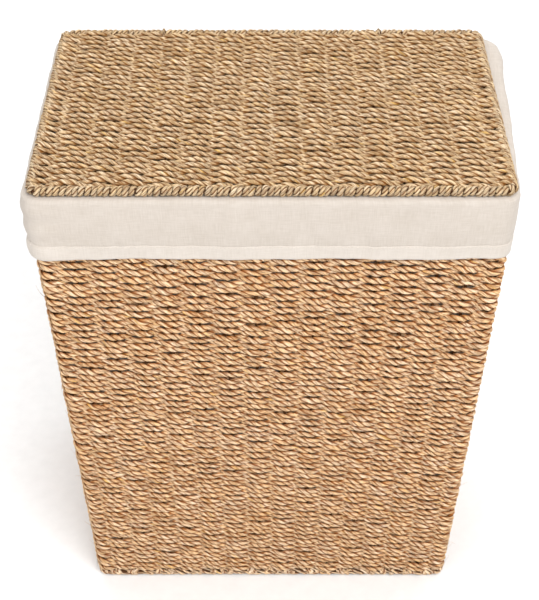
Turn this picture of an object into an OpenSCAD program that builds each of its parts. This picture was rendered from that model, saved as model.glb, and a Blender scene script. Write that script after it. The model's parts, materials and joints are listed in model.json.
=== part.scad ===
// Woven twine laundry hamper with a cloth liner and a hinged woven lid.
// Millimetres. +Z is up and the front of the hamper faces -Y.
// The origin is on the floor, under the middle of the basket.

/* [Basket] */
// Width of the woven wall at the rim
rim_w = 428; // [386:1:466]
// Depth of the woven wall at the rim
rim_d = 286; // [260:1:320]
// Width of the woven wall at the floor
base_w = 378; // [346:1:426]
// Depth of the woven wall at the floor
base_d = 258; // [230:1:290]
// Height from the floor to the top of the closed lid
total_h = 522; // [440:1:600]
// Radius of the basket's corners, seen from above
corner_r = 14; // [14:1:30]

/* [Wire frame] */
// Diameter of the wire rings at the rim, foot and lid edge
ring_wire_d = 5; // [4:0.5:6]
// Diameter of the four corner posts
post_wire_d = 4; // [3:0.5:5]
// Diameter of the stakes that the twine is woven round
stake_wire_d = 3; // [2:0.5:3.5]
// Number of stakes in the front, and in the back
front_stake_n = 14; // [10:2:16]
// Number of stakes in each side
side_stake_n = 9; // [7:1:11]

/* [Weave] */
// Thickness of the woven wall and base
weave_t = 9; // [8:0.5:10]
// Thickness of the woven lid panel
lid_weave_t = 8; // [7:0.5:9]

/* [Liner] */
// Thickness of the liner cloth
cloth_t = 1.4; // [1:0.2:2]
// How far the cuff hangs down outside the rim
cuff_h = 63; // [50:1:90]
// Height of the turned hem at the foot of the cuff
hem_h = 15; // [10:1:20]
// Extra thickness of the turned hem
hem_t = 0.8; // [0.4:0.2:1.2]

/* [Lid] */
// Width of the lid
lid_w = 424; // [382:1:462]
// Depth of the lid
lid_d = 286; // [260:1:320]
// Radius of the lid's corners, seen from above
lid_corner_r = 12; // [11:1:20]
// Diameter of the whipped lid edge
lid_edge_d = 9.6; // [9:0.2:11]

/* [Hinge loops] */
// Diameter of the twine that ties the lid to the rim
loop_twine_d = 3; // [2:0.5:3.5]
// How many stake gaps each hinge loop is from the middle
loop_gap_n = 4; // [2:1:5]

/* [Hidden] */

// Smoothness of round stretches, and of the corners of tapered shells
$fn = 48;
corner_steps = 8;

// Play between pieces that lie on each other, and inside a wire's own hole
play = 0.3;
wire_play = 0.1;
// Slack of the hinge loops round the rings, of their slots and of their notches
loop_slack = 0.6;
slot_slack = 1.2;
notch_slack = 0.8;
// How far a cutting shape runs past what it cuts
over = 1;

// Heights of the closed lid and the rim, from the top down
lid_edge_r = lid_edge_d / 2;
lid_z = total_h - lid_edge_r;
lid_rest_gap = 0.5;
cuff_top_z = total_h - lid_edge_d - lid_rest_gap;
rim_top_z = cuff_top_z - cloth_t - play;
wrap_r = weave_t / 2;
rim_z = rim_top_z - wrap_r;
foot_z = wrap_r;
cuff_foot_z = rim_top_z - cuff_h;
liner_join_z = rim_z - wrap_r;

// Insets from the outside of the woven wall
mid_wall = weave_t / 2;
skin_t = (weave_t - post_wire_d) / 2 - 2 * wire_play;
liner_out = weave_t + play;
liner_in = liner_out + cloth_t;
cuff_in = -play;
cuff_out = cuff_in - cloth_t;
hem_out = cuff_out - hem_t;

// The lid's wire ring, and the square edge of its woven panel
lid_ring_x = lid_w / 2 - lid_edge_r;
lid_ring_y = lid_d / 2 - lid_edge_r;
lid_ring_r = lid_corner_r - lid_edge_r;
lid_panel_x = lid_ring_x - lid_edge_r - wire_play;
lid_panel_y = lid_ring_y - lid_edge_r - wire_play;

// The hinge loops go round the lid's edge and the rim, at the back
loop_r = lid_edge_r + loop_slack + loop_twine_d / 2;
loop_x = loop_gap_n * 2 * lid_panel_x / (front_stake_n + 1);
slot_w = loop_twine_d + 2 * slot_slack;
slot_foot_z = rim_z - loop_r - loop_twine_d / 2 - play;

// Colours
twine_color = [0.76, 0.61, 0.45];
cloth_color = [0.91, 0.87, 0.82];
wire_color = [0.35, 0.33, 0.31];

// Half of the wall's outside width and depth at height z
function half_w(z) = (base_w + (rim_w - base_w) * z / rim_top_z) / 2;
function half_d(z) = (base_d + (rim_d - base_d) * z / rim_top_z) / 2;

// Middle of the wall's thickness at the corner posts
function post_x(z) = half_w(z) - corner_r + (corner_r - mid_wall) * cos(45);
function post_y(z) = half_d(z) - corner_r + (corner_r - mid_wall) * sin(45);

// Outline of the tapered basket at height z, inset from its outside
function outline(z, inset) = [
    for (q = [0 : 3])
        let (sx = q == 0 || q == 3 ? 1 : -1, sy = q < 2 ? 1 : -1)
            for (i = [0 : corner_steps])
                let (a = 90 * (q + i / corner_steps), r = corner_r - inset)
                    [
                        sx * (half_w(z) - corner_r) + r * cos(a),
                        sy * (half_d(z) - corner_r) + r * sin(a),
                        z,
                    ]
];

// Solid block between two heights that follows the basket's taper
module tapered_block(z0, z1, inset) {
    low = outline(z0, inset);
    n = len(low);
    sides = [for (i = [0 : n - 1]) [i, n + i, n + (i + 1) % n, (i + 1) % n]];
    foot = [for (i = [0 : n - 1]) i];
    top = [for (i = [0 : n - 1]) 2 * n - 1 - i];
    polyhedron(concat(low, outline(z1, inset)), concat([foot], sides, [top]));
}

// Tapered shell between two heights and two insets
module tapered_shell(z0, z1, outer, inner) {
    difference() {
        tapered_block(z0, z1, outer);
        tapered_block(z0 - over, z1 + over, inner);
    }
}

// Round rod between two points
module rod(a, b, d) {
    v = b - a;
    translate(a)
        rotate([0, acos(v.z / norm(v)), atan2(v.y, v.x)])
            cylinder(h = norm(v), d = d);
}

// Flat ring of round rod with round corners; x, y and r are to its middle
module rod_ring(x, y, r, z, d) {
    for (sx = [-1, 1])
        rod([sx * x, r - y, z], [sx * x, y - r, z], d);
    for (sy = [-1, 1])
        rod([r - x, sy * y, z], [x - r, sy * y, z], d);
    for (q = [0 : 3]) {
        sx = q == 0 || q == 3 ? 1 : -1;
        sy = q < 2 ? 1 : -1;
        translate([sx * (x - r), sy * (y - r), z])
            rotate(90 * q)
                rotate_extrude(angle = 90)
                    translate([r, 0])
                        circle(d = d);
    }
}

// Rounds a length to a tenth of a millimetre
function tenth(v) = round(10 * v) / 10;

// Ring that follows the middle of the wall at height z
module wall_ring(z, d) {
    rod_ring(
        tenth(half_w(z) - mid_wall), tenth(half_d(z) - mid_wall), corner_r - mid_wall, z, d
    );
}

// Flat panel with round corners
module panel(x, y, r, z0, z1) {
    translate([0, 0, z0])
        linear_extrude(z1 - z0) {
            square([2 * x, 2 * (y - r)], center = true);
            square([2 * (x - r), 2 * y], center = true);
            for (sx = [-1, 1], sy = [-1, 1])
                translate([sx * (x - r), sy * (y - r)])
                    circle(r);
        }
}

// Upright wires stop against the ring wires, and their holes run on into the rings' own
wire_ends = [foot_z + ring_wire_d / 2 + wire_play, rim_z - ring_wire_d / 2 - wire_play];
hole_ends = [foot_z, rim_z];

module corner_post(sx, sy, ends = wire_ends, d = post_wire_d) {
    points = [for (z = ends) [sx * post_x(z), sy * post_y(z), z]];
    rod(points[0], points[1], d);
}

// Stakes of the front (side -1) or back (side 1)
module long_wall_stakes(side, ends = wire_ends, d = stake_wire_d) {
    for (i = [1 : front_stake_n]) {
        t = 2 * i / (front_stake_n + 1) - 1;
        points = [for (z = ends) [t * post_x(z), side * (half_d(z) - mid_wall), z]];
        rod(points[0], points[1], d);
    }
}

// Stakes of the left (side -1) or right (side 1)
module short_wall_stakes(side, ends = wire_ends, d = stake_wire_d) {
    for (i = [1 : side_stake_n]) {
        t = 2 * i / (side_stake_n + 1) - 1;
        points = [for (z = ends) [side * (half_w(z) - mid_wall), t * post_y(z), z]];
        rod(points[0], points[1], d);
    }
}

// Wires that a flat panel is woven round, front to back, spread over half width x
module panel_stakes(x, end_y, z, d) {
    for (i = [1 : front_stake_n]) {
        t = 2 * i / (front_stake_n + 1) - 1;
        rod([t * x, -end_y, z], [t * x, end_y, z], d);
    }
}

// The wires of the base panel reach to the base ring, less a gap
module base_stake_set(gap = ring_wire_d / 2 + wire_play, d = stake_wire_d) {
    panel_stakes(post_x(foot_z), half_d(foot_z) - mid_wall - gap, foot_z, d);
}

// The wires of the lid panel reach to the lid ring, less a gap
module lid_stake_set(gap = ring_wire_d / 2 + wire_play, d = stake_wire_d) {
    panel_stakes(lid_panel_x, lid_ring_y - gap, lid_z, d);
}

// The holes that the upright wires fill
module upright_holes() {
    for (sx = [-1, 1], sy = [-1, 1])
        corner_post(sx, sy, hole_ends, post_wire_d + 2 * wire_play);
    for (side = [-1, 1]) {
        long_wall_stakes(side, hole_ends, stake_wire_d + 2 * wire_play);
        short_wall_stakes(side, hole_ends, stake_wire_d + 2 * wire_play);
    }
}

// The slits that the hinge loops pass through, over the back rim
module loop_slots() {
    for (sx = [-1, 1])
        translate([sx * loop_x - slot_w / 2, half_d(rim_z) - liner_in - over, slot_foot_z])
            cube([slot_w, liner_in + weave_t, total_h - slot_foot_z]);
}

module base_ring_wire() {
    color(wire_color)
        wall_ring(foot_z, ring_wire_d);
}

module rim_ring_wire() {
    color(wire_color)
        wall_ring(rim_z, ring_wire_d);
}

module corner_post_front_left() {
    color(wire_color)
        corner_post(-1, -1);
}

module corner_post_front_right() {
    color(wire_color)
        corner_post(1, -1);
}

module corner_post_back_left() {
    color(wire_color)
        corner_post(-1, 1);
}

module corner_post_back_right() {
    color(wire_color)
        corner_post(1, 1);
}

module front_stakes() {
    color(wire_color)
        long_wall_stakes(-1);
}

module back_stakes() {
    color(wire_color)
        long_wall_stakes(1);
}

module left_stakes() {
    color(wire_color)
        short_wall_stakes(-1);
}

module right_stakes() {
    color(wire_color)
        short_wall_stakes(1);
}

module base_stakes() {
    color(wire_color)
        base_stake_set();
}

// The woven wall stands on the base rope and ends under the rim wrap. Its twine runs
// outside and inside the upright wires, so it is an outer and an inner skin.
module wall_weave() {
    low = weave_t + wire_play;
    high = liner_join_z - wire_play;
    color(twine_color)
        difference() {
            union() {
                tapered_shell(low, high, 0, skin_t);
                tapered_shell(low, high, weave_t - skin_t, weave_t);
            }
            loop_slots();
        }
}

module base_weave() {
    edge = weave_t + wire_play;
    color(twine_color)
        difference() {
            panel(half_w(foot_z) - edge, half_d(foot_z) - edge, corner_r - edge, 0, weave_t);
            base_stake_set(0, stake_wire_d + 2 * wire_play);
        }
}

// Rope twisted round the foot, over the base ring wire
module base_edge_rope() {
    color(twine_color)
        difference() {
            wall_ring(foot_z, weave_t);
            wall_ring(foot_z, ring_wire_d + 2 * wire_play);
            upright_holes();
            base_stake_set(0, stake_wire_d + 2 * wire_play);
        }
}

// Twine whipped round the rim ring wire
module rim_wrap() {
    color(twine_color)
        difference() {
            wall_ring(rim_z, weave_t);
            wall_ring(rim_z, ring_wire_d + 2 * wire_play);
            upright_holes();
        }
}

module liner_walls() {
    color(cloth_color)
        difference() {
            tapered_shell(weave_t + play, liner_join_z, liner_out, liner_in);
            loop_slots();
        }
}

module liner_base() {
    edge = liner_in + wire_play;
    color(cloth_color)
        panel(
            half_w(weave_t) - edge, half_d(weave_t) - edge, corner_r - edge,
            weave_t + play, weave_t + play + cloth_t
        );
}

// The liner's top, folded over the rim and down outside, with a turned hem
module liner_cuff() {
    color(cloth_color)
        difference() {
            union() {
                tapered_block(cuff_foot_z, cuff_top_z, cuff_out);
                tapered_block(cuff_foot_z, cuff_foot_z + hem_h, hem_out);
            }
            difference() {
                tapered_block(cuff_foot_z - over, cuff_top_z - cloth_t, cuff_in);
                tapered_block(liner_join_z + wire_play, cuff_top_z, liner_out);
            }
            tapered_block(cuff_foot_z - 2 * over, cuff_top_z + over, liner_in);
            loop_slots();
        }
}

// Ring of twine round the lid's edge and the rim
module hinge_loop(side) {
    color(twine_color)
        translate([side * loop_x, lid_ring_y, 0])
            rotate([0, 0, 90])
                rotate([90, 0, 0]) {
                    for (end = [[lid_z, 0], [rim_z, 180]])
                        translate([0, end[0], 0])
                            rotate(end[1])
                                rotate_extrude(angle = 180)
                                    translate([loop_r, 0])
                                        circle(d = loop_twine_d);
                    for (sx = [-1, 1])
                        rod([sx * loop_r, rim_z, 0], [sx * loop_r, lid_z, 0], loop_twine_d);
                }
}

module hinge_loop_left() {
    hinge_loop(-1);
}

module hinge_loop_right() {
    hinge_loop(1);
}

module lid_ring_wire() {
    color(wire_color)
        rod_ring(lid_ring_x, lid_ring_y, lid_ring_r, lid_z, ring_wire_d);
}

module lid_stakes() {
    color(wire_color)
        lid_stake_set();
}

// The lid's woven panel, notched so that it can turn past the hinge loops
module lid_weave() {
    notch_r = loop_r + loop_twine_d / 2 + notch_slack;
    color(twine_color)
        difference() {
            panel(
                lid_panel_x, lid_panel_y, lid_ring_r - lid_edge_r - wire_play,
                lid_z - lid_weave_t / 2, lid_z + lid_weave_t / 2
            );
            lid_stake_set(0, stake_wire_d + 2 * wire_play);
            for (sx = [-1, 1])
                translate([sx * loop_x - slot_w / 2, lid_ring_y - notch_r, lid_z - lid_weave_t])
                    cube([slot_w, notch_r, 2 * lid_weave_t]);
        }
}

// Twine whipped round the lid ring wire
module lid_edge_wrap() {
    color(twine_color)
        difference() {
            rod_ring(lid_ring_x, lid_ring_y, lid_ring_r, lid_z, lid_edge_d);
            rod_ring(lid_ring_x, lid_ring_y, lid_ring_r, lid_z, ring_wire_d + 2 * wire_play);
            lid_stake_set(0, stake_wire_d + 2 * wire_play);
        }
}

base_ring_wire();
rim_ring_wire();
corner_post_front_left();
corner_post_front_right();
corner_post_back_left();
corner_post_back_right();
front_stakes();
back_stakes();
left_stakes();
right_stakes();
base_stakes();
wall_weave();
base_weave();
base_edge_rope();
rim_wrap();
liner_walls();
liner_base();
liner_cuff();
hinge_loop_left();
hinge_loop_right();
lid_ring_wire();
lid_stakes();
lid_weave();
lid_edge_wrap();
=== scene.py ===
"""Looks of the woven laundry basket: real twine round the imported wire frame, a cloth liner
and a whipped lid. Lengths are metres, +Z is up and the basket's front faces -Y."""
import json
import math

import bpy
import numpy as np
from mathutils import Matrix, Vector


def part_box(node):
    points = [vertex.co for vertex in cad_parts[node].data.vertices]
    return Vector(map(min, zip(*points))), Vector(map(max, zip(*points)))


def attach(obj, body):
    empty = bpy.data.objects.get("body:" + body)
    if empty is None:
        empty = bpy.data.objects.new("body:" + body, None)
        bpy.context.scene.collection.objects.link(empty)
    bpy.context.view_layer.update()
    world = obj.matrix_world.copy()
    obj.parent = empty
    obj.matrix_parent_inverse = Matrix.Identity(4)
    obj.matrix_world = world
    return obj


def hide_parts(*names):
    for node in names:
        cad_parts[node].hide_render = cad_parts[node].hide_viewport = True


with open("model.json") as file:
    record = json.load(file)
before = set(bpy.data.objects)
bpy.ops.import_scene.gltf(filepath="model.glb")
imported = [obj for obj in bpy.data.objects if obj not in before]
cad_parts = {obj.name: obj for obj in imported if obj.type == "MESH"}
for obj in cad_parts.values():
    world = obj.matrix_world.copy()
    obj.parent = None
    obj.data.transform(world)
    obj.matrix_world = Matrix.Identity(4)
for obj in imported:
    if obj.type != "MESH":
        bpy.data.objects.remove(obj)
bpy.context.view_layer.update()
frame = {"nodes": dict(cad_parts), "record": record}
MM = 0.001
RANDOM = np.random.default_rng(7)

# ---------------------------------------------------------------- sizes from the frame
FOOT_LOW, FOOT_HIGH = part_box("base_edge_rope")
RIM_LOW, RIM_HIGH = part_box("rim_wrap")
WALL_LOW, WALL_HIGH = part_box("wall_weave")
_, BASE_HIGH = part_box("base_weave")
CUFF_LOW, CUFF_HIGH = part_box("liner_cuff")
LINER_LOW, LINER_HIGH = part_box("liner_base")
LID_LOW, LID_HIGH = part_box("lid_edge_wrap")
_, PANEL_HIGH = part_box("lid_weave")

WALL_T = FOOT_HIGH.z - FOOT_LOW.z
MID_WALL = WALL_T / 2
FOOT_Z = (FOOT_LOW.z + FOOT_HIGH.z) / 2
RIM_Z = (RIM_LOW.z + RIM_HIGH.z) / 2
CORNER_R = 14 * MM
LID_CORNER_R = 12 * MM
LID_Z = (LID_LOW.z + LID_HIGH.z) / 2
LID_EDGE_R = (LID_HIGH.z - LID_LOW.z) / 2
LID_X = LID_HIGH.x - LID_EDGE_R
LID_Y = LID_HIGH.y - LID_EDGE_R
LID_RING_R = LID_CORNER_R - LID_EDGE_R
LONG_STAKES = 14
SHORT_STAKES = 9
STAKES = 2 * (LONG_STAKES + SHORT_STAKES) + 4
FOOT_RISE = 1.0 * MM
FOOT_RISE_FADE = 70 * MM


def half_size(z):
    """Half of the wall's outside width and depth at height z."""
    t = (z - FOOT_Z) / (RIM_Z - FOOT_Z)
    return (
        FOOT_HIGH.x + (RIM_HIGH.x - FOOT_HIGH.x) * t,
        FOOT_HIGH.y + (RIM_HIGH.y - FOOT_HIGH.y) * t,
    )


# ---------------------------------------------------------------- small maths
def smooth_step(x, low, high):
    """0 below low, 1 above high, smooth between."""
    t = np.clip((x - low) / (high - low), 0, 1)
    return t * t * (3 - 2 * t)


def bell(x, width):
    """1 at x = 0, falling smoothly to 0 on both sides."""
    return np.exp(-((x / width) ** 2))


def ripple(share, cycles, rows=1):
    """Smooth random curves, one a row, of about unit height. share runs from 0 to 1 and
    the curves meet again at its ends."""
    total = np.zeros((rows, np.shape(share)[-1]))
    for octave in range(3):
        for _ in range(2):
            spread = RANDOM.uniform(0.7, 1.4, (rows, 1))
            waves = np.maximum(1, np.round(cycles * spread * 1.9**octave))
            phase = RANDOM.uniform(0, 2 * math.pi, (rows, 1))
            total += np.sin(2 * math.pi * waves * share + phase) * 0.6**octave
    return total / 2


def per_stake(rows, gaps, steps, spread):
    """Random value at each wire of each row, joined smoothly between the wires."""
    values = RANDOM.normal(0, spread, (rows, gaps + 1))
    values[:, -1] = values[:, 0]
    k = np.arange(gaps * steps) / steps
    low = np.floor(k).astype(int)
    t = smooth_step(k - low, 0, 1)
    return values[:, low] * (1 - t) + values[:, low + 1] * t


def round_rect(half_x, half_y, radius, s):
    """Points and outward normals at distance s round a rounded rectangle, anticlockwise
    from the middle of its front left corner."""
    arc = radius * math.pi / 2
    long, short = 2 * (half_x - radius), 2 * (half_y - radius)
    lengths = [arc / 2, long, arc, short, arc, long, arc, short, arc / 2]
    starts = np.concatenate([[0], np.cumsum(lengths)])
    s = np.mod(s, starts[-1])
    part = np.clip(np.searchsorted(starts, s, side="right") - 1, 0, len(lengths) - 1)
    along = s - starts[part]
    sign_x = np.array([-1, -1, 1, 1, 1, 1, -1, -1, -1])
    sign_y = np.array([-1, -1, -1, -1, 1, 1, 1, 1, -1])
    centre = np.stack([sign_x * (half_x - radius), sign_y * (half_y - radius)], -1)
    first = np.radians([225, 270, 270, 0, 0, 90, 90, 180, 180])
    is_arc = part % 2 == 0
    angle = first[part] + np.where(is_arc, along / radius, 0)
    normal = np.stack([np.cos(angle), np.sin(angle)], -1)
    forward = np.stack([-np.sin(angle), np.cos(angle)], -1)
    straight = np.where(is_arc, 0, along)[..., None] * forward
    return centre[part] + radius * normal + straight, normal


def round_rect_length(half_x, half_y, radius):
    """Distance all the way round a rounded rectangle."""
    return 4 * (half_x + half_y - 2 * radius) + 2 * math.pi * radius


def spaced(count):
    """Places of wires spread evenly between -1 and 1, ends left out."""
    return 2 * np.arange(1, count + 1) / (count + 1) - 1


def stake_distances(half_x, half_y, radius):
    """Distance round the middle of the wall of each upright wire, from the front left
    post all the way round to the same post again."""
    arc = radius * math.pi / 2
    total = round_rect_length(half_x, half_y, radius)
    post_x = half_x - radius + radius * math.cos(math.pi / 4)
    post_y = half_y - radius + radius * math.sin(math.pi / 4)
    long = arc / 2 + (half_x - radius) + spaced(LONG_STAKES) * post_x
    short = total / 2 - arc / 2 - (half_y - radius) + spaced(SHORT_STAKES) * post_y
    corner = arc + 2 * (half_x - radius)
    near = np.concatenate([[0], long, [corner], short])
    return np.concatenate([near, near + total / 2, [total]])


def foot_lift(x, y, z):
    """The basket stands on its corners: how far its foot rises between them."""
    half_x, half_y = half_size(FOOT_Z)
    middle = np.maximum(0, 1 - (x / half_x) ** 2) + np.maximum(0, 1 - (y / half_y) ** 2)
    return FOOT_RISE * middle * np.exp(-z / FOOT_RISE_FADE)


# ---------------------------------------------------------------- meshes
# A twine's section has eight points: how far out each one lies, which dips at the two
# grooves between the plies, and how much each one belongs to the first ply.
SECTION = 8
ROUND_SECTION = np.arange(SECTION) * math.pi / 4
PLY_PROFILE = np.array([1.0, 0.89, 0.54, 0.89] * 2)
FIRST_PLY = np.array([1.0, 0.85, 0.5, 0.15, 0.0, 0.15, 0.5, 0.85])


def add_mesh(name, points, faces, attributes, material):
    """Smooth object from an array of points and arrays of faces, with point attributes."""
    mesh = bpy.data.meshes.new(name)
    corners = np.concatenate([f.reshape(-1) for f in faces]).astype(np.int32)
    counts = np.concatenate([np.full(len(f), f.shape[1]) for f in faces])
    starts = np.concatenate([[0], np.cumsum(counts)[:-1]]).astype(np.int32)
    mesh.vertices.add(len(points))
    mesh.vertices.foreach_set("co", points.astype(np.float32).reshape(-1))
    mesh.loops.add(len(corners))
    mesh.loops.foreach_set("vertex_index", corners)
    mesh.polygons.add(len(counts))
    mesh.polygons.foreach_set("loop_start", starts)
    mesh.update(calc_edges=True)
    for key, values in attributes.items():
        kind, field = ("FLOAT_VECTOR", "vector") if values.ndim == 2 else ("FLOAT", "value")
        data = mesh.attributes.new(key, kind, "POINT").data
        data.foreach_set(field, values.astype(np.float32).reshape(-1))
    mesh.polygons.foreach_set("use_smooth", np.ones(len(counts), dtype=bool))
    mesh.materials.append(material)
    piece = bpy.data.objects.new(name, mesh)
    bpy.context.scene.collection.objects.link(piece)
    return piece


def grid_faces(index, closed=False):
    """Quads between neighbouring points of grids of indices, (..., rows, columns). Each
    row runs round to its start, and so do the columns where closed."""
    below = index if closed else index[..., :-1, :]
    above = np.roll(index, -1, axis=-2) if closed else index[..., 1:, :]
    corners = [below, np.roll(below, -1, -1), np.roll(above, -1, -1), above]
    return np.stack(corners, -1).reshape(-1, 4)


def tube_faces(count, steps):
    """Faces of tubes of SECTION points round, with a face at each end."""
    index = np.arange(count * steps * SECTION).reshape(count, steps, SECTION)
    return [grid_faces(index), index[:, 0, ::-1], index[:, -1]]


def twine_rings(centre, out, side, thick, wide, turn):
    """Rings of a twisted two-ply twine, and how far along out their points lie, from -1
    to 1. thick and wide are the half sizes along out and side, and turn is the twist."""
    angle = turn[..., None] + ROUND_SECTION
    along_out = PLY_PROFILE * np.cos(angle)
    along_side = wide[..., None] * PLY_PROFILE * np.sin(angle)
    rings = centre[..., None, :] + (thick[..., None] * along_out)[..., None] * out[..., None, :]
    return rings + along_side[..., None] * side[..., None, :], along_out


def twine_object(name, rings, length, tints, crevice_shade, closed, material):
    """Mesh of many twines at once. rings is (twines, steps, SECTION, 3). length is the
    distance along each twine, tints the shade of its two plies, and the painted crevice shade
    of each point, from 0 to 1, is strongest where the twine is tucked into the weave. A closed
    twine meets its own start."""
    twines, steps = rings.shape[:2]
    shape = (twines, steps, SECTION)
    if closed:
        faces = [grid_faces(np.arange(twines * steps * SECTION).reshape(shape), closed=True)]
    else:
        faces = tube_faces(twines, steps)
    shift = RANDOM.uniform(0, 20, (twines, 1, 1))
    fibre = np.stack([
        np.broadcast_to(length[..., None] + shift, shape),
        np.broadcast_to(np.cos(ROUND_SECTION), shape),
        np.broadcast_to(np.sin(ROUND_SECTION), shape),
    ], -1)
    tint = tints[0][..., None] * FIRST_PLY + tints[1][..., None] * (1 - FIRST_PLY)
    attributes = {
        "fibre": fibre.reshape(-1, 3),
        # The last attribute carries painted shade, strongest where the twine is tucked into the
        # weave.
        "tint": np.broadcast_to(tint, shape).reshape(-1),
        "crevice_shade": np.broadcast_to(crevice_shade, shape).reshape(-1),
    }
    return add_mesh(name, rings.reshape(-1, 3), faces, attributes, material)


def ply_tints(share, cycles, rows):
    """Shade along the two plies of each row, from 0 to 1."""
    base = 0.5 + RANDOM.normal(0, 0.08, (rows, 1))
    return [
        np.clip(base + RANDOM.normal(0, 0.1, (rows, 1)) + 0.2 * ripple(share, cycles, rows), 0, 1)
        for _ in range(2)
    ]


def place(piece, body, slot, *nodes):
    """Hands a piece to the frame: the body it rides on and the nodes it stands in for."""
    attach(piece, body)
    if nodes:
        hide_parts(*nodes)


# ---------------------------------------------------------------- materials
def linear(r, g, b):
    """Linear colour from 0 to 255 screen values."""
    def one(c):
        c /= 255
        return c / 12.92 if c <= 0.04045 else ((c + 0.055) / 1.055) ** 2.4
    return (one(r), one(g), one(b), 1)


class Nodes:
    """Short way to write a material's nodes."""

    def __init__(self, name):
        self.material = bpy.data.materials.new(name)
        self.material.use_nodes = True
        self.tree = self.material.node_tree
        self.shader = self.tree.nodes["Principled BSDF"]

    def feed(self, socket, value):
        """Links an input to another node's output, or sets its constant value."""
        if isinstance(value, bpy.types.NodeSocket):
            self.tree.links.new(value, socket)
        else:
            socket.default_value = value

    def add(self, kind, inputs, **settings):
        """New node with its settings made and its inputs fed."""
        node = self.tree.nodes.new(kind)
        for key, value in settings.items():
            setattr(node, key, value)
        for key, value in inputs.items():
            self.feed(node.inputs[key], value)
        return node

    def attribute(self, name, output):
        return self.add("ShaderNodeAttribute", {}, attribute_name=name).outputs[output]

    def position(self):
        return self.add("ShaderNodeTexCoord", {}).outputs["Object"]

    def math(self, operation, *values):
        inputs = dict(enumerate(values))
        return self.add("ShaderNodeMath", inputs, operation=operation).outputs[0]

    def plus(self, *terms):
        """Sum of (value, weight) pairs and plain values."""
        total = 0.0
        for term in terms:
            if isinstance(term, tuple):
                total = self.math("MULTIPLY_ADD", term[0], term[1], total)
            else:
                total = self.math("ADD", total, term)
        return total

    def step(self, value, low, high):
        """0 at low, 1 at high, smooth between."""
        inputs = {"Value": value, "From Min": low, "From Max": high}
        node = self.add("ShaderNodeMapRange", inputs, interpolation_type="SMOOTHSTEP")
        return node.outputs[0]

    def scaled(self, vector, scale):
        inputs = {0: vector, 1: scale}
        return self.add("ShaderNodeVectorMath", inputs, operation="MULTIPLY").outputs[0]

    def noise(self, vector, scale, detail=3.0):
        inputs = {"Vector": vector, "Scale": scale, "Detail": detail, "Roughness": 0.6}
        return self.add("ShaderNodeTexNoise", inputs).outputs["Fac"]

    def ramp(self, factor, stops):
        """Colour at the factor, between stops of (position, colour)."""
        node = self.add("ShaderNodeValToRGB", {0: factor})
        elements = node.color_ramp.elements
        while len(elements) < len(stops):
            elements.new(0.5)
        for element, (position, colour) in zip(elements, stops):
            element.position = position
            element.color = colour
        return node.outputs[0]

    def mix(self, factor, a, b):
        inputs = {0: factor, 6: a, 7: b}
        return self.add("ShaderNodeMix", inputs, data_type="RGBA").outputs[2]

    def bump(self, height, distance, strength=1.0):
        inputs = {"Height": height, "Distance": distance, "Strength": strength}
        return self.add("ShaderNodeBump", inputs).outputs[0]

    def finish(self, colour, roughness, normal, **constants):
        """Feeds the shader and sets its constants. Returns the material."""
        fed = {"Base Color": colour, "Roughness": roughness, "Normal": normal}
        for name, value in fed.items():
            self.feed(self.shader.inputs[name], value)
        for name, value in constants.items():
            self.shader.inputs[name.replace("_", " ")].default_value = value
        return self.material


SHADE_STOPS = (0.22, 0.42, 0.64, 0.92)
PLY_RELIEF = 0.7 * MM
THREAD_RELIEF = 0.4 * MM
GOLD = linear(232, 186, 92)
BLEACHED = linear(252, 246, 238)


def twine_material(name, shades, warm, inner):
    """Twisted seagrass. Blades of grass run along each ply, with painted shade in the sunken
    lines between them. The shade changes along a ply and from one to the next, with warm
    and golden lengths here and there. Painted shade darkens the grooves between the plies,
    and the inner colour is a warm painted shade where the twine is tucked into the weave.
    shades run from the darkest to the palest."""
    n = Nodes(name)
    fibre = n.attribute("fibre", "Vector")
    tint = n.attribute("tint", "Fac")
    crevice_shade = n.attribute("crevice_shade", "Fac")
    axes = n.add("ShaderNodeSeparateXYZ", {0: fibre}).outputs
    across = n.math("POWER", axes[1], 2.0)
    both = n.plus(across, n.math("POWER", axes[2], 2.0), 0.0001)
    groove = n.math("SUBTRACT", 1.0, n.step(n.math("DIVIDE", across, both), 0.0, 0.2))
    blades = n.noise(n.scaled(fibre, (60, 1.9, 1.9)), 1.0, 2.0)
    fine = n.noise(n.scaled(fibre, (150, 4, 4)), 1.0, 2.0)
    from_edge = n.math("ABSOLUTE", n.math("SUBTRACT", blades, 0.5))
    lines = n.math("SUBTRACT", 1.0, n.step(from_edge, 0.0, 0.07))
    patches = n.noise(n.position(), 30.0, 3.0)
    hue = n.noise(n.scaled(fibre, (14, 0.6, 0.6)), 1.0, 2.0)
    shade = n.plus((blades, 1.1), (tint, 0.4), (patches, 0.2), (fine, 0.7), -0.6)
    colour = n.ramp(shade, list(zip(SHADE_STOPS, shades)))
    colour = n.mix(n.math("MULTIPLY", n.step(hue, 0.45, 0.7), 0.5), colour, warm)
    gold = n.step(n.noise(n.scaled(fibre, (22, 0.8, 0.8)), 1.0, 1.0), 0.68, 0.76)
    colour = n.mix(n.math("MULTIPLY", gold, 0.7), colour, GOLD)
    # Painted shade: the warm inner colour where the twine is tucked into the weave.
    colour = n.mix(n.math("MULTIPLY", crevice_shade, 0.8), colour, inner)
    # Painted shade in the grooves between the plies and the sunken lines between the blades,
    # towards the darkest shade.
    groove_and_line_shade = n.math("MAXIMUM", n.math("MULTIPLY", lines, 0.65), n.math("MULTIPLY", groove, 0.9))
    colour = n.mix(groove_and_line_shade, colour, shades[0])
    rough = n.plus((fine, 0.25), 0.62)
    height = n.plus((blades, 0.9), (fine, 0.7), (lines, -0.4), (groove, -0.7))
    return n.finish(colour, rough, n.bump(height, PLY_RELIEF), Specular_IOR_Level=0.02)


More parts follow.
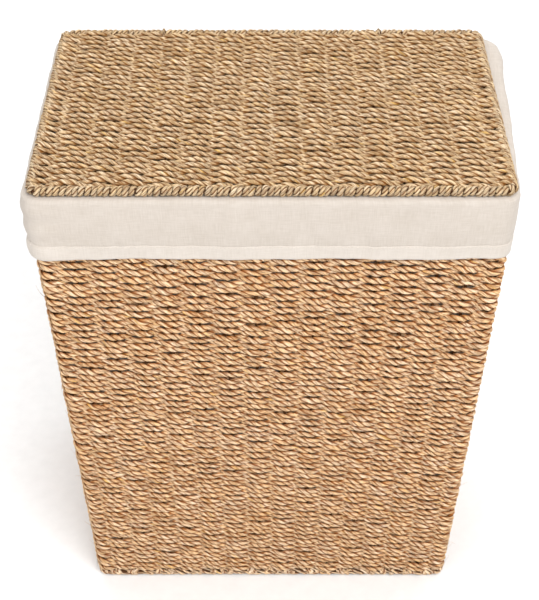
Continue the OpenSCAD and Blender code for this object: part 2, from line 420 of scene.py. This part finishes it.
def cloth_material(name, pale, shadow):
    """Plain cotton: threads both ways with slubs and a soft uneven tone, paler where the
    hem doubles it."""
    n = Nodes(name)
    cloth = n.attribute("cloth", "Vector")
    warp = n.noise(n.scaled(cloth, (1100, 70, 1)), 1.0, 2.0)
    weft = n.noise(n.scaled(cloth, (70, 1100, 1)), 1.0, 2.0)
    tone = n.noise(n.scaled(cloth, (45, 45, 1)), 1.0, 3.0)
    threads = n.plus((warp, 0.5), (weft, 0.5))
    hem = n.attribute("hem", "Fac")
    colour = n.ramp(n.plus((threads, 0.75), (tone, 0.25)), [(0.36, shadow), (0.62, pale)])
    colour = n.mix(n.math("MULTIPLY", hem, 0.12), colour, BLEACHED)
    rough = n.plus((warp, 0.1), 0.84)
    normal = n.bump(threads, THREAD_RELIEF, 0.7)
    return n.finish(colour, rough, normal, Specular_IOR_Level=0.15, Sheen_Weight=0.1)


def wire_material(name, colour, scuffed):
    """Steel wire with a thin brown lacquer, scuffed in places."""
    n = Nodes(name)
    scuffs = n.noise(n.scaled(n.position(), (400, 400, 60)), 1.0, 3.0)
    shade = n.ramp(scuffs, [(0.4, colour), (0.75, scuffed)])
    rough = n.plus((scuffs, 0.3), 0.4)
    return n.finish(shade, rough, n.bump(scuffs, 0.1 * MM, 0.5), Specular_IOR_Level=0.15)


# Each twine's last colour is the warm painted shade where it is tucked into the weave. Its first,
# the darkest tone, is also the painted shade of the grooves and lines.
WALL_TWINE = twine_material(
    "wall_twine",
    [linear(126, 60, 12), linear(240, 199, 148), linear(240, 210, 171), linear(236, 212, 184)],
    linear(241, 200, 150),
    linear(184, 102, 26),
)
LID_TWINE = twine_material(
    "lid_twine",
    [linear(112, 62, 14), linear(201, 171, 129), linear(221, 194, 158), linear(225, 205, 175)],
    linear(227, 195, 146),
    linear(150, 94, 30),
)
CLOTH = cloth_material("liner_cotton", linear(197, 188, 179), linear(183, 173, 162))
THREAD = cloth_material("hem_thread", linear(224, 215, 203), linear(204, 194, 182))
WIRE = wire_material("frame_wire", linear(66, 36, 12), linear(98, 66, 36))


# ---------------------------------------------------------------- woven wall
GAP_STEPS = 18
TWIST_LAY = 19 * MM
ROWS_IN_PIECE = 13
# A twine swings WEAVE_SWING out of the middle of the wall where it passes a wire, wanders
# up and down by WALL_LIFT, and is pressed flatter there. A loose length swings further and
# is wider.
WEAVE_SWING = 3.1 * MM
WALL_LOOSE_SWING = 0.22 * MM
WALL_LIFT = 0.65 * MM
WALL_TWINE_R = 2.8 * MM
PRESSED_FLAT = 0.45 * MM
LOOSE_WIDER = 0.11


def wall_heights():
    """Height of every row, closer together towards the foot."""
    heights = [WALL_LOW.z + 1.9 * MM]
    while heights[-1] < WALL_HIGH.z - 3 * MM:
        heights.append(heights[-1] + row_pitch(heights[-1]))
    return np.array(heights)


def row_pitch(z):
    """Distance between rows at height z."""
    return 3.55 * MM + 1.33 * MM * z


def weave_swing(k, parity):
    """How far a twine swings out (1) or in (-1), at k wires along its row."""
    swing = np.cos(math.pi * (k + parity))
    return np.sign(swing) * np.abs(swing) ** 0.85


def wall_rows(heights, first_row):
    """Mesh arrays of the twines that go round the wall at these heights."""
    rows, steps = len(heights), STAKES * GAP_STEPS
    k = np.arange(steps) / GAP_STEPS
    centre = np.zeros((rows, steps, 3))
    out = np.zeros((rows, steps, 3))
    length = np.zeros((rows, steps))
    total = np.zeros((rows, 1))
    for row, z in enumerate(heights):
        half_x, half_y = half_size(z)
        size = (half_x - MID_WALL, half_y - MID_WALL, CORNER_R - MID_WALL)
        stakes = stake_distances(*size)
        length[row] = np.interp(k, np.arange(STAKES + 1), stakes)
        centre[row, :, :2], out[row, :, :2] = round_rect(*size, length[row])
        centre[row, :, 2] = z
        total[row] = stakes[-1]
    share = length / total
    parity = (first_row + np.arange(rows))[:, None]
    swing = weave_swing(k[None], parity)
    over = np.abs(swing)
    loose = per_stake(rows, STAKES, GAP_STEPS, 1.0)
    lift = per_stake(rows, STAKES, GAP_STEPS, WALL_LIFT)
    offset = swing * (WEAVE_SWING + WALL_LOOSE_SWING * loose)
    centre += out * offset[..., None]
    waver = 0.4 * ripple(share, 9, rows) + 0.16 * ripple(share, 90, rows)
    centre[..., 2] += lift * over + waver * MM
    centre[..., 2] += foot_lift(centre[..., 0], centre[..., 1], centre[..., 2])
    slack = 1 + LOOSE_WIDER * loose + 0.06 * ripple(share, 110, rows)
    thick = WALL_TWINE_R - PRESSED_FLAT * over
    wide = row_pitch(heights)[:, None] * (0.6 + 0.28 * over) * slack
    turns = np.round(total / TWIST_LAY * RANDOM.uniform(0.85, 1.2, (rows, 1)))
    start = RANDOM.uniform(0, 2 * math.pi, (rows, 1))
    turn = start - 2 * math.pi * turns * share + 0.5 * ripple(share, 30, rows)
    side = np.zeros_like(out)
    side[..., 2] = 1
    rings, along_out = twine_rings(centre, out, side, thick, wide, turn)
    # Painted shade on the upper and lower sides of each twine, where the rows press together.
    crevice_shade = 1 - smooth_step(np.abs(along_out), 0.1, 0.6)
    return rings, length, ply_tints(share, 14, rows), crevice_shade


def build_wall():
    """The wall's rows, in bands of ROWS_IN_PIECE."""
    heights = wall_heights()
    for number, first in enumerate(range(0, len(heights), ROWS_IN_PIECE)):
        rings, length, tints, crevice_shade = wall_rows(heights[first:first + ROWS_IN_PIECE], first)
        name = f"wall_weave_band_{number + 1:02d}"
        piece = twine_object(name, rings, length, tints, crevice_shade, True, WALL_TWINE)
        place(piece, "basket", "wall_twine", "wall_weave")


# ---------------------------------------------------------------- woven flat panels
PANEL_LIFT = 0.42 * MM
PANEL_LOOSE_SWING = 0.2 * MM
PANEL_TWINE_R = 2.75 * MM
PANEL_INSET = 2.0 * MM
LID_PITCH = 4.45 * MM
BASE_PITCH = 4.4 * MM


def panel_rows(half_x, rows_y, stake_x, z, thickness, pitch, gap_steps, gather, edge_wave):
    """Mesh arrays of the rows of a flat woven panel, over and under the wires at stake_x.
    gather draws the row ends together in fours, and edge_wave arches the rows nearest
    the front and back edges up between the wires."""
    knots = np.concatenate([[-half_x], stake_x, [half_x]])
    gaps = len(knots) - 1
    k = np.arange(gaps * gap_steps + 1) / gap_steps
    x = np.interp(k, np.arange(gaps + 1), knots)
    rows, steps = len(rows_y), len(k)
    number = np.arange(rows)[:, None]
    swing = weave_swing(k[None], number)
    over = np.abs(swing)
    loose = np.pad(per_stake(rows, gaps, gap_steps, 1.0), ((0, 0), (0, 1)), mode="edge")
    lift = np.pad(per_stake(rows, gaps, gap_steps, PANEL_LIFT), ((0, 0), (0, 1)), mode="edge")
    share = (x + half_x) / (2 * half_x)
    length = np.broadcast_to(x + half_x, (rows, steps))
    near_side = smooth_step(np.abs(x), half_x - 22 * MM, half_x - 7 * MM)
    in_four = 1.5 - number % 4
    from_edge = (np.abs(rows_y[0]) - np.abs(rows_y))[:, None]
    near_edge = np.exp(-from_edge / (6 * MM))
    arch = np.sign(rows_y)[:, None] * -np.cos(2 * math.pi * k) * near_edge
    centre = np.zeros((rows, steps, 3))
    centre[..., 0] = x
    centre[..., 1] = rows_y[:, None] + lift * over + 0.4 * MM * ripple(share, 4, rows)
    centre[..., 1] += gather * in_four * near_side + edge_wave * (arch - 0.3 * np.abs(arch))
    offset = swing * (thickness / 2 - PANEL_INSET + PANEL_LOOSE_SWING * loose)
    centre[..., 2] = z + offset
    out = np.zeros((rows, steps, 3))
    out[..., 2] = 1
    side = np.zeros((rows, steps, 3))
    side[..., 1] = 1
    thick = PANEL_TWINE_R - PRESSED_FLAT * over
    wide = pitch * (0.58 + 0.27 * over) * (1 + LOOSE_WIDER * loose)
    start = RANDOM.uniform(0, 2 * math.pi, (rows, 1))
    turn = start - 2 * math.pi * length / TWIST_LAY + 0.5 * ripple(share, 5, rows)
    rings, along_out = twine_rings(centre, out, side, thick, wide, turn)
    # Painted shade on the sides of each twine, where the rows press together.
    crevice_shade = 1 - smooth_step(np.abs(along_out), 0.1, 0.6)
    return rings, length, ply_tints(share, 5, rows), crevice_shade


def panel_object(name, arrays, part, material):
    """One piece made of some of a panel's rows."""
    rings, length, tints, crevice_shade = arrays
    tints = [tint[part] for tint in tints]
    return twine_object(name, rings[part], length[part], tints, crevice_shade[part], False, material)


def build_lid_panel():
    """The lid's weave, in a front and a back piece."""
    inner_y = LID_Y - 3.6 * MM
    count = int(2 * inner_y / LID_PITCH)
    rows_y = np.linspace(-inner_y, inner_y, count)
    arrays = panel_rows(
        LID_X, rows_y, spaced(LONG_STAKES) * PANEL_HIGH.x, LID_Z,
        thickness=LID_HIGH.z - LID_LOW.z, pitch=LID_PITCH, gap_steps=GAP_STEPS,
        gather=0.5 * MM, edge_wave=1.3 * MM
    )
    half = count // 2
    for name, part in (("front", slice(0, half)), ("back", slice(half, count))):
        piece = panel_object(f"lid_weave_{name}", arrays, part, LID_TWINE)
        place(piece, "lid", "lid_twine", "lid_weave")


def build_base_panel():
    """The woven base, which rises with the foot between the corners."""
    count = int(2 * BASE_HIGH.y / BASE_PITCH)
    rows_y = np.linspace(-BASE_HIGH.y, BASE_HIGH.y, count)
    radius = CORNER_R - MID_WALL
    post_x = half_size(FOOT_Z)[0] - MID_WALL - radius + radius * math.cos(math.pi / 4)
    rings, length, tints, crevice_shade = panel_rows(
        BASE_HIGH.x, rows_y, spaced(LONG_STAKES) * post_x, FOOT_Z,
        thickness=WALL_T, pitch=BASE_PITCH, gap_steps=12,
        gather=0.3 * MM, edge_wave=0.8 * MM
    )
    rings[..., 2] += foot_lift(rings[..., 0], rings[..., 1], 0 * rings[..., 2])
    arrays = (rings, length, tints, crevice_shade)
    piece = panel_object("base_weave_rows", arrays, slice(0, count), WALL_TWINE)
    place(piece, "basket", "wall_twine", "base_weave")


# ---------------------------------------------------------------- wraps and ropes
WHIPPING_PITCH = 5.4 * MM
WHIPPING_LAY = 11 * MM
LOOP_TWINE_R = 1.25 * MM
LOOP_LAY = 9 * MM
LOOP_STEPS = 96


def wound_ring(name, size, z, coil_r, thick, wide, pitch, strands, steps, lay, material,
               lift=None):
    """Twine wound round a rounded rectangle in the plane at z, for whipping and ropes.
    coil_r is the winding's radius, thick and wide the twine's half sizes, pitch the
    distance from one turn to the next, and lay the length of one twist. A negative pitch
    winds it the other way. lift gives how far each point is raised."""
    total = round_rect_length(*size)
    turns = round(total / pitch)
    count = abs(turns) * steps
    share = np.arange(count) / count
    point, normal = round_rect(*size, share * total)
    outward = np.concatenate([normal, np.zeros((count, 1))], axis=1)
    forward = np.stack([-normal[:, 1], normal[:, 0], np.zeros(count)], -1)
    up = np.array([0.0, 0.0, 1.0])
    line = np.concatenate([point, np.full((count, 1), z)], axis=1)
    line += forward * (0.12 * pitch * ripple(share, total / (24 * MM))[0])[:, None]
    if lift is not None:
        line[:, 2] += lift(line[:, 0], line[:, 1], line[:, 2])
    swell = 1 + 0.1 * ripple(share, total / (12 * MM))[0]
    twist_turns = round(turns * 2 * math.pi * coil_r / lay)
    parts = []
    for strand in range(strands):
        angle = 2 * math.pi * (turns * share + strand / strands)
        radial = np.cos(angle)[:, None] * outward + np.sin(angle)[:, None] * up
        centre = line + coil_r * (0.5 + 0.5 * swell)[:, None] * radial
        twist = 2 * math.pi * twist_turns * share + strand
        parts.append(twine_rings(centre, radial, forward, thick * swell, wide * swell, twist))
    rings = np.array([part[0] for part in parts])
    along_out = np.array([part[1] for part in parts])
    # Painted shade on the side of each turn that faces in, towards the edge it is wound round.
    crevice_shade = 1 - smooth_step(along_out, -0.9, 0.1)
    length = np.broadcast_to(share * turns * 2 * math.pi * coil_r, (strands, count))
    tints = [np.clip(tint + 0.3, 0, 1) for tint in ply_tints(share, abs(turns) / 3, strands)]
    return twine_object(name, rings, length, tints, crevice_shade, True, material)


def build_wraps():
    """The lid's whipped edge, the whipped rim and the rope round the foot."""
    edge = wound_ring(
        "lid_edge_whipping", (LID_X, LID_Y, LID_RING_R), LID_Z,
        coil_r=3.3 * MM, thick=1.6 * MM, wide=2.9 * MM,
        pitch=WHIPPING_PITCH, strands=1, steps=18, lay=WHIPPING_LAY, material=LID_TWINE
    )
    place(edge, "lid", "lid_twine", "lid_edge_wrap")
    rim_size = (RIM_HIGH.x - MID_WALL, RIM_HIGH.y - MID_WALL, CORNER_R - MID_WALL)
    rim = wound_ring(
        "rim_whipping", rim_size, RIM_Z,
        coil_r=3.2 * MM, thick=1.3 * MM, wide=2.7 * MM,
        pitch=WHIPPING_PITCH, strands=1, steps=10, lay=WHIPPING_LAY, material=WALL_TWINE
    )
    place(rim, "basket", "wall_twine", "rim_wrap")
    foot_size = (FOOT_HIGH.x - MID_WALL, FOOT_HIGH.y - MID_WALL, CORNER_R - MID_WALL)
    rope = wound_ring(
        "foot_rope", foot_size, FOOT_Z,
        coil_r=2.9 * MM, thick=1.8 * MM, wide=3.2 * MM,
        pitch=-28 * MM, strands=4, steps=32, lay=14 * MM, material=WALL_TWINE, lift=foot_lift
    )
    place(rope, "basket", "wall_twine", "base_edge_rope")


def build_hinge_loop(node):
    """Closed loop of twine pulled tight round the lid's edge and the rim."""
    low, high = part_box(node)
    bend = LID_EDGE_R
    x, y = (low.x + high.x) / 2, (low.y + high.y) / 2
    straight = LID_Z - RIM_Z
    half = straight + math.pi * bend
    s = np.arange(LOOP_STEPS) / LOOP_STEPS * 2 * half
    around = np.mod(s, half)
    turn = np.clip(around - straight, 0, None) / bend
    rise = np.minimum(around, straight)
    second = s >= half
    angle = turn + np.where(second, math.pi, 0)
    out = np.stack([0 * s, np.cos(angle), np.sin(angle)], -1)
    middle = np.stack([0 * s + x, 0 * s + y, np.where(second, LID_Z - rise, RIM_Z + rise)], -1)
    side = np.broadcast_to(np.array([1.0, 0, 0]), out.shape)
    twist = 2 * math.pi * s / (2 * half) * round(2 * half / LOOP_LAY)
    size = np.full(LOOP_STEPS, LOOP_TWINE_R)
    rings, along_out = twine_rings(middle + bend * out, out, side, size, size, twist)
    # Painted shade on the side of the loop that faces the edges it wraps round.
    crevice_shade = 0.3 - 0.3 * along_out
    tints = ply_tints(s / (2 * half), 4, 1)
    piece = twine_object(node + "_twine", rings[None], s[None], tints, crevice_shade[None], True,
                         LID_TWINE)
    place(piece, "basket", "lid_twine", node)


# ---------------------------------------------------------------- cloth liner
CLOTH_T = 0.9 * MM
CUFF_FOOT_Z = CUFF_LOW.z
CUFF_TOP_Z = CUFF_HIGH.z - CLOTH_T / 2
HEM_H = 15 * MM
HEM_TOP_Z = CUFF_FOOT_Z + HEM_H
INSIDE_GAP = 1.0 * MM
CUFF_OUT = 1.1 * MM
AROUND = 520
STITCH_PITCH = 3.3 * MM
STITCH_L = 2.5 * MM


def liner_profile():
    """Inset from the wall's outside and height of the liner's section: up the inside of
    the basket, over the rim, down outside, and up again inside the hem. Also the counts
    of its points up to the rim, up to the outside and up to the fold."""
    inner = WALL_T + INSIDE_GAP
    inside = [(inner, z) for z in np.linspace(LINER_LOW.z + 2 * MM, RIM_Z, 26)]
    middle, reach = (inner - CUFF_OUT) / 2, (inner + CUFF_OUT) / 2
    rise = CUFF_TOP_Z - RIM_Z
    over = [
        (middle + reach * math.cos(a), RIM_Z + rise * math.sin(a) ** 0.7)
        for a in np.linspace(0, math.pi, 13)[1:-1]
    ]
    fold_z = CUFF_FOOT_Z + 0.7 * MM
    seam_top, seam_foot = HEM_TOP_Z + 3 * MM, HEM_TOP_Z - 3 * MM
    levels = np.concatenate([
        np.linspace(RIM_Z, seam_top, 26, endpoint=False),
        np.linspace(seam_top, seam_foot, 12, endpoint=False),
        np.linspace(seam_foot, fold_z, 9),
    ])
    outside = [(-CUFF_OUT, z) for z in levels]
    fold_r = CUFF_OUT / 2
    fold = [
        (fold_r * math.cos(a) - fold_r, fold_z - 0.6 * MM * math.sin(a))
        for a in np.linspace(math.pi, 0, 5)[1:-1]
    ]
    hem = [(0, z) for z in np.linspace(fold_z, HEM_TOP_Z, 5)]
    counts = len(inside), len(inside + over), len(inside + over + outside)
    return np.array(inside + over + outside + fold + hem), counts


def cuff_bulge(x, y, down):
    """How far the cuff stands out from the wall, from its top (down = 0) to its hem (1).
    It hangs loose at the right, most of all towards the back, and flares and wrinkles a
    little at the front left."""
    body = 1.6 * MM * np.sin(math.pi * np.clip(down + 0.1, 0, 1))
    right = smooth_step(x, 0.17, 0.2)
    left = smooth_step(-x, 0.17, 0.2)
    flare = 2.5 * MM * left * smooth_step(-y, 0.0, 0.12) * smooth_step(down, 0.5, 1.0)
    loose = 9.5 * smooth_step(y, -0.14, 0.05) + 5 * bell(y - 0.107, 0.03)
    tight = 1.2 * smooth_step(-y, 0.1, 0.14)
    short_of_back = smooth_step(y, 0.146, 0.128)
    side = (right * (loose - tight) + left) * short_of_back * MM
    wave = math.cos(2 * math.pi * (down - 0.12) / 0.38)
    wrinkles = 0.8 * MM * left * bell(y + 0.12, 0.05) * wave
    return body + flare + wrinkles + side * np.clip(1.15 - down, 0, 1)


def hem_doubled(z):
    """0 above the hem's top, 1 where the hem doubles the cloth."""
    return smooth_step(HEM_TOP_Z - z, -0.5 * MM, 0.8 * MM)


def liner_points(profile, inside_end, over_end, outside_end):
    """Points of the liner, (points of its section, AROUND, 3). Inside it hangs in slow
    folds, and outside it hangs in the cuff's bulge with puckers along the seam."""
    share = np.arange(AROUND) / AROUND
    slow, folds, creases, puckers = [ripple(share, n)[0] for n in (12, 28, 70, 150)]
    drift = ripple(share, 7)[0]
    points = np.zeros((len(profile), AROUND, 3))
    for i, (inset, z) in enumerate(profile):
        half_x, half_y = half_size(z)
        size = (half_x - inset, half_y - inset, CORNER_R - inset)
        point, normal = round_rect(*size, share * round_rect_length(*size))
        down = (RIM_Z - max(z, CUFF_FOOT_Z)) / (RIM_Z - CUFF_FOOT_Z)
        if i < inside_end:
            full = 0.25 + 0.75 * smooth_step(z, 0.0, 0.3) * smooth_step(z, 0.5, 0.42)
            push = -np.abs(2.2 * slow + 0.9 * math.cos(9 * z) * folds) * MM * full
        elif i < over_end:
            around = (i - inside_end) / (over_end - inside_end)
            push = (cuff_bulge(point[:, 0], point[:, 1], 0) + 0.4 * MM * folds) * around
        else:
            seam = bell(z - HEM_TOP_Z, 8 * MM)
            dent = bell(z - HEM_TOP_Z, 0.9 * MM)
            push = cuff_bulge(point[:, 0], point[:, 1], down)
            push = push + 0.8 * MM * slow * math.sin(math.pi * min(1, down + 0.08))
            push = push + 0.5 * MM * folds * (0.4 + 0.6 * down)
            push = push + (0.3 * creases + 0.14 * puckers) * MM * seam
            if i < outside_end:
                push = push + (0.7 * hem_doubled(z) - 0.5 * dent) * MM
            points[i, :, 2] = 0.8 * MM * drift * down
        points[i, :, :2] = point + normal * np.asarray(push)[:, None]
        points[i, :, 2] += z
    return points


SLOT_HALF_W = 2.7 * MM


def in_hinge_slot(middle):
    """Which of the faces with these middles lie in the slots for the two hinge loops."""
    low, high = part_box("hinge_loop_left")
    loop_x = abs(low.x + high.x) / 2
    near_loop = np.abs(np.abs(middle[:, 0]) - loop_x) < SLOT_HALF_W
    return near_loop & (middle[:, 1] > 0) & (middle[:, 2] > low.z - 0.3 * MM)


def build_liner():
    """One cloth up the inside, over the rim and down outside to its stitched hem."""
    profile, (inside_end, over_end, outside_end) = liner_profile()
    total = round_rect_length(RIM_HIGH.x, RIM_HIGH.y, CORNER_R)
    points = liner_points(profile, inside_end, over_end, outside_end)
    steps = np.linalg.norm(np.diff(profile, axis=0), axis=1)
    along = np.concatenate([[0], np.cumsum(steps)])
    shape = (len(profile), AROUND)
    quads = grid_faces(np.arange(len(profile) * AROUND).reshape(shape))[:, ::-1]
    in_slot = in_hinge_slot(points.reshape(-1, 3)[quads].mean(axis=1))
    cloth = np.stack([
        np.broadcast_to(np.arange(AROUND) / AROUND * total, shape),
        np.broadcast_to(along[:, None], shape),
        np.zeros(shape),
    ], -1)
    doubled = hem_doubled(profile[:, 1])
    doubled[:over_end] = 0
    liner = add_mesh(
        "liner_cloth", points.reshape(-1, 3), [quads[~in_slot]],
        {"cloth": cloth.reshape(-1, 3), "hem": np.repeat(doubled, AROUND)}, CLOTH
    )
    thicken(liner)
    place(liner, "basket", "liner_cloth", "liner_walls", "liner_cuff")
    thread = build_stitches(points[over_end:outside_end])


def thicken(piece):
    """Gives a sheet the cloth's thickness."""
    solid = piece.modifiers.new("thickness", "SOLIDIFY")
    solid.thickness = CLOTH_T
    solid.offset = 0


def build_liner_floor():
    """The liner's floor, sewn in at its edge and slightly rumpled."""
    half_x, half_y = LINER_HIGH.x + 0.8 * MM, LINER_HIGH.y + 0.8 * MM
    radius = CORNER_R - WALL_T - 1.7 * MM
    total = round_rect_length(half_x, half_y, radius)
    count, rows = 360, 40
    rim, _ = round_rect(half_x, half_y, radius, np.arange(count) / count * total)
    share = (np.arange(1, rows + 1) / rows)[:, None, None]
    flat = (rim[None] * share).reshape(-1, 2)
    x, y = flat[:, 0], flat[:, 1]
    lift = np.abs(np.sin(x * 31 + 1.3) * np.sin(y * 37 + x * 11)) * 1.6 * MM
    lift *= 1 - np.repeat(share[:, 0, 0], count) ** 3
    middle_z = LINER_LOW.z + 2 * MM
    points = np.stack([x, y, middle_z + lift], -1)
    points = np.concatenate([points, [[0, 0, middle_z]]])
    index = np.arange(rows * count).reshape(rows, count)
    fan = np.stack([np.full(count, rows * count), index[0], np.roll(index[0], -1)], -1)
    cloth = np.concatenate([points[:, :2], np.zeros((len(points), 1))], axis=1)
    floor = add_mesh("liner_floor", points, [grid_faces(index)[:, ::-1], fan],
                     {"cloth": cloth}, CLOTH)
    thicken(floor)
    place(floor, "basket", "liner_cloth", "liner_base")


def build_stitches(fall):
    """Row of lockstitches along the top of the hem. fall is the cuff's outer face."""
    level = np.argmin(np.abs(fall[:, 0, 2] - (HEM_TOP_Z - 1.0 * MM)))
    line = np.concatenate([fall[level], fall[level][:1]])
    spans = np.linalg.norm(np.diff(line, axis=0), axis=1)
    distance = np.concatenate([[0], np.cumsum(spans)])
    count = int(distance[-1] / STITCH_PITCH)
    steps = 6
    starts = np.arange(count) * distance[-1] / count
    s = starts[:, None] + np.linspace(0, STITCH_L, steps)[None]
    spot = np.stack([np.interp(s, distance, line[:, axis]) for axis in range(3)], -1)
    tangent = spot[:, -1] - spot[:, 0]
    tangent /= np.linalg.norm(tangent, axis=1)[:, None]
    out = np.stack([tangent[:, 1], -tangent[:, 0], 0 * tangent[:, 0]], -1)[:, None]
    out = np.broadcast_to(out, spot.shape)
    side = np.zeros_like(spot)
    side[..., 2] = 1
    arch = np.sin(np.linspace(0, math.pi, steps)) ** 0.5
    centre = spot + out * (CLOTH_T / 2 + 0.1 * MM * (arch - 1))[None, :, None]
    size = np.broadcast_to(0.28 * MM * (0.3 + 0.7 * arch), s.shape)
    rings, _ = twine_rings(centre, out, side, size, size, s * 2 * math.pi / (1.2 * MM))
    points = rings.reshape(-1, 3)
    faces = tube_faces(count, steps)
    thread = add_mesh("hem_stitching", points, faces, {"cloth": points}, THREAD)
    place(thread, "basket", "liner_cloth")
    return thread


# ---------------------------------------------------------------- loose fibres
WALL_FIBRES = 900
LID_FIBRES = 420


def fibre_object(name, roots, along, out, body, slot, material):
    """Fine broken blades of grass that stick out of the weave at their roots."""
    count, steps = len(roots), 7
    t = np.linspace(0, 1, steps)[None, :, None]
    long = RANDOM.uniform(4, 15, (count, 1, 1)) * MM
    way = RANDOM.choice([-1, 1], (count, 1, 1)) * along[:, None]
    other = np.cross(out, along)[:, None]
    lean = RANDOM.uniform(0.06, 0.4, (count, 1, 1))
    bend = RANDOM.normal(0, 0.35, (count, 1, 1))
    centre = roots[:, None] + long * t * way + long * lean * t * (1 - 0.5 * t) * out[:, None]
    centre = centre + long * bend * t**2 * other
    size = RANDOM.uniform(0.14, 0.26, (count, 1)) * MM * (1 - 0.75 * t[..., 0])
    out_all = np.broadcast_to(out[:, None], centre.shape)
    side_all = np.broadcast_to(other, centre.shape)
    rings, _ = twine_rings(centre, out_all, side_all, size, size, 0 * size)
    length = long[..., 0] * t[..., 0]
    tints = [np.broadcast_to(RANDOM.uniform(0.4, 1, (count, 1)), size.shape)] * 2
    piece = twine_object(name, rings, length, tints, np.zeros(SECTION), False, material)
    place(piece, body, slot)


def build_loose_fibres():
    """Fibres on the wall below the cuff, and on the lid short of its hinge."""
    roots, along, out = [], [], []
    for height in RANDOM.uniform(WALL_LOW.z, CUFF_FOOT_Z, WALL_FIBRES):
        half_x, half_y = half_size(height)
        size = (half_x, half_y, CORNER_R)
        point, normal = round_rect(*size, RANDOM.uniform(0, round_rect_length(*size), 1))
        roots.append([*(point[0] - 0.6 * MM * normal[0]), height])
        out.append([*normal[0], 0.0])
        along.append([-normal[0, 1], normal[0, 0], 0.0])
    fibre_object("wall_loose_fibres", np.array(roots), np.array(along), np.array(out),
                 "basket", "wall_twine", WALL_TWINE)
    roots = np.stack([
        RANDOM.uniform(-LID_X, LID_X, LID_FIBRES),
        RANDOM.uniform(-LID_Y, 0.88 * LID_Y, LID_FIBRES),
        np.full(LID_FIBRES, LID_HIGH.z - 0.9 * MM),
    ], -1)
    along = np.tile([1.0, 0, 0], (LID_FIBRES, 1))
    out = np.tile([0, 0, 1.0], (LID_FIBRES, 1))
    fibre_object("lid_loose_fibres", roots, along, out, "lid", "lid_twine", LID_TWINE)


# ---------------------------------------------------------------- stage
FLOOR_Z = -0.6 * MM
FLOOR_CORNERS = [(-7, -5), (7, -5), (7, 9), (-7, 9)]
LIGHT_AIM = Vector((0, 0, 0.28))
CAMERA_PLACE = (-0.0018, -1.120, 1.197)
CAMERA_DOWN_DEG = 39.17
CAMERA_LENS = 83.7


def softbox(name, location, size, power):
    """Rectangular light that faces the middle of the basket."""
    data = bpy.data.lights.new(name, "AREA")
    data.shape = "RECTANGLE"
    data.size, data.size_y = size
    data.energy = power
    light = bpy.data.objects.new(name, data)
    light.location = location
    aim = LIGHT_AIM - Vector(location)
    light.rotation_euler = aim.to_track_quat("-Z", "Y").to_euler()
    bpy.context.scene.collection.objects.link(light)


def build_stage():
    """Pale paper floor, four soft lights and an even white world."""
    points = np.array([[x, y, FLOOR_Z] for x, y in FLOOR_CORNERS])
    n = Nodes("floor_paper")
    grain = n.noise(n.position(), 60.0)
    colour = n.ramp(grain, [(0.3, (0.86, 0.86, 0.86, 1)), (0.7, (0.9, 0.9, 0.9, 1))])
    paper = n.finish(colour, n.plus((grain, 0.1), 0.85), n.bump(grain, 0.05 * MM))
    add_mesh("floor", points, [np.arange(4)[None]], {}, paper)
    softbox("key", (0.8, -1.6, 2.3), (1.6, 1.2), 55)
    softbox("fill", (-1.6, -1.4, 1.2), (1.4, 1.4), 13)
    softbox("top", (0.2, 0.5, 2.4), (1.6, 1.2), 16)
    softbox("back", (-0.7, 2.2, 1.5), (1.4, 1.2), 16)
    world = bpy.data.worlds.new("studio")
    world.use_nodes = True
    background = world.node_tree.nodes["Background"]
    background.inputs["Color"].default_value = (1, 1, 1, 1)
    background.inputs["Strength"].default_value = 0.65
    bpy.context.scene.world = world
    bpy.context.scene.view_settings.view_transform = "Standard"


def build_camera():
    """Camera at the photo's viewing angle, from the fit of the basket's proportions."""
    data = bpy.data.cameras.new("camera")
    data.sensor_width = 36
    data.lens = CAMERA_LENS
    camera = bpy.data.objects.new("camera", data)
    camera.location = CAMERA_PLACE
    camera.rotation_euler = (math.radians(90 - CAMERA_DOWN_DEG), 0, 0)
    bpy.context.scene.collection.objects.link(camera)
    bpy.context.scene.camera = camera


def lacquer_wires():
    """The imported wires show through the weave, in their own finish."""
    for part in frame["record"]["subparts"]:
        if part["material_slot"] == "frame_wire":
            for slot in frame["nodes"][part["node"]].material_slots:
                slot.material = WIRE


build_camera()
build_stage()
lacquer_wires()
build_wall()
build_base_panel()
build_lid_panel()
build_wraps()
build_hinge_loop("hinge_loop_left")
build_hinge_loop("hinge_loop_right")
build_liner()
build_liner_floor()
build_loose_fibres()
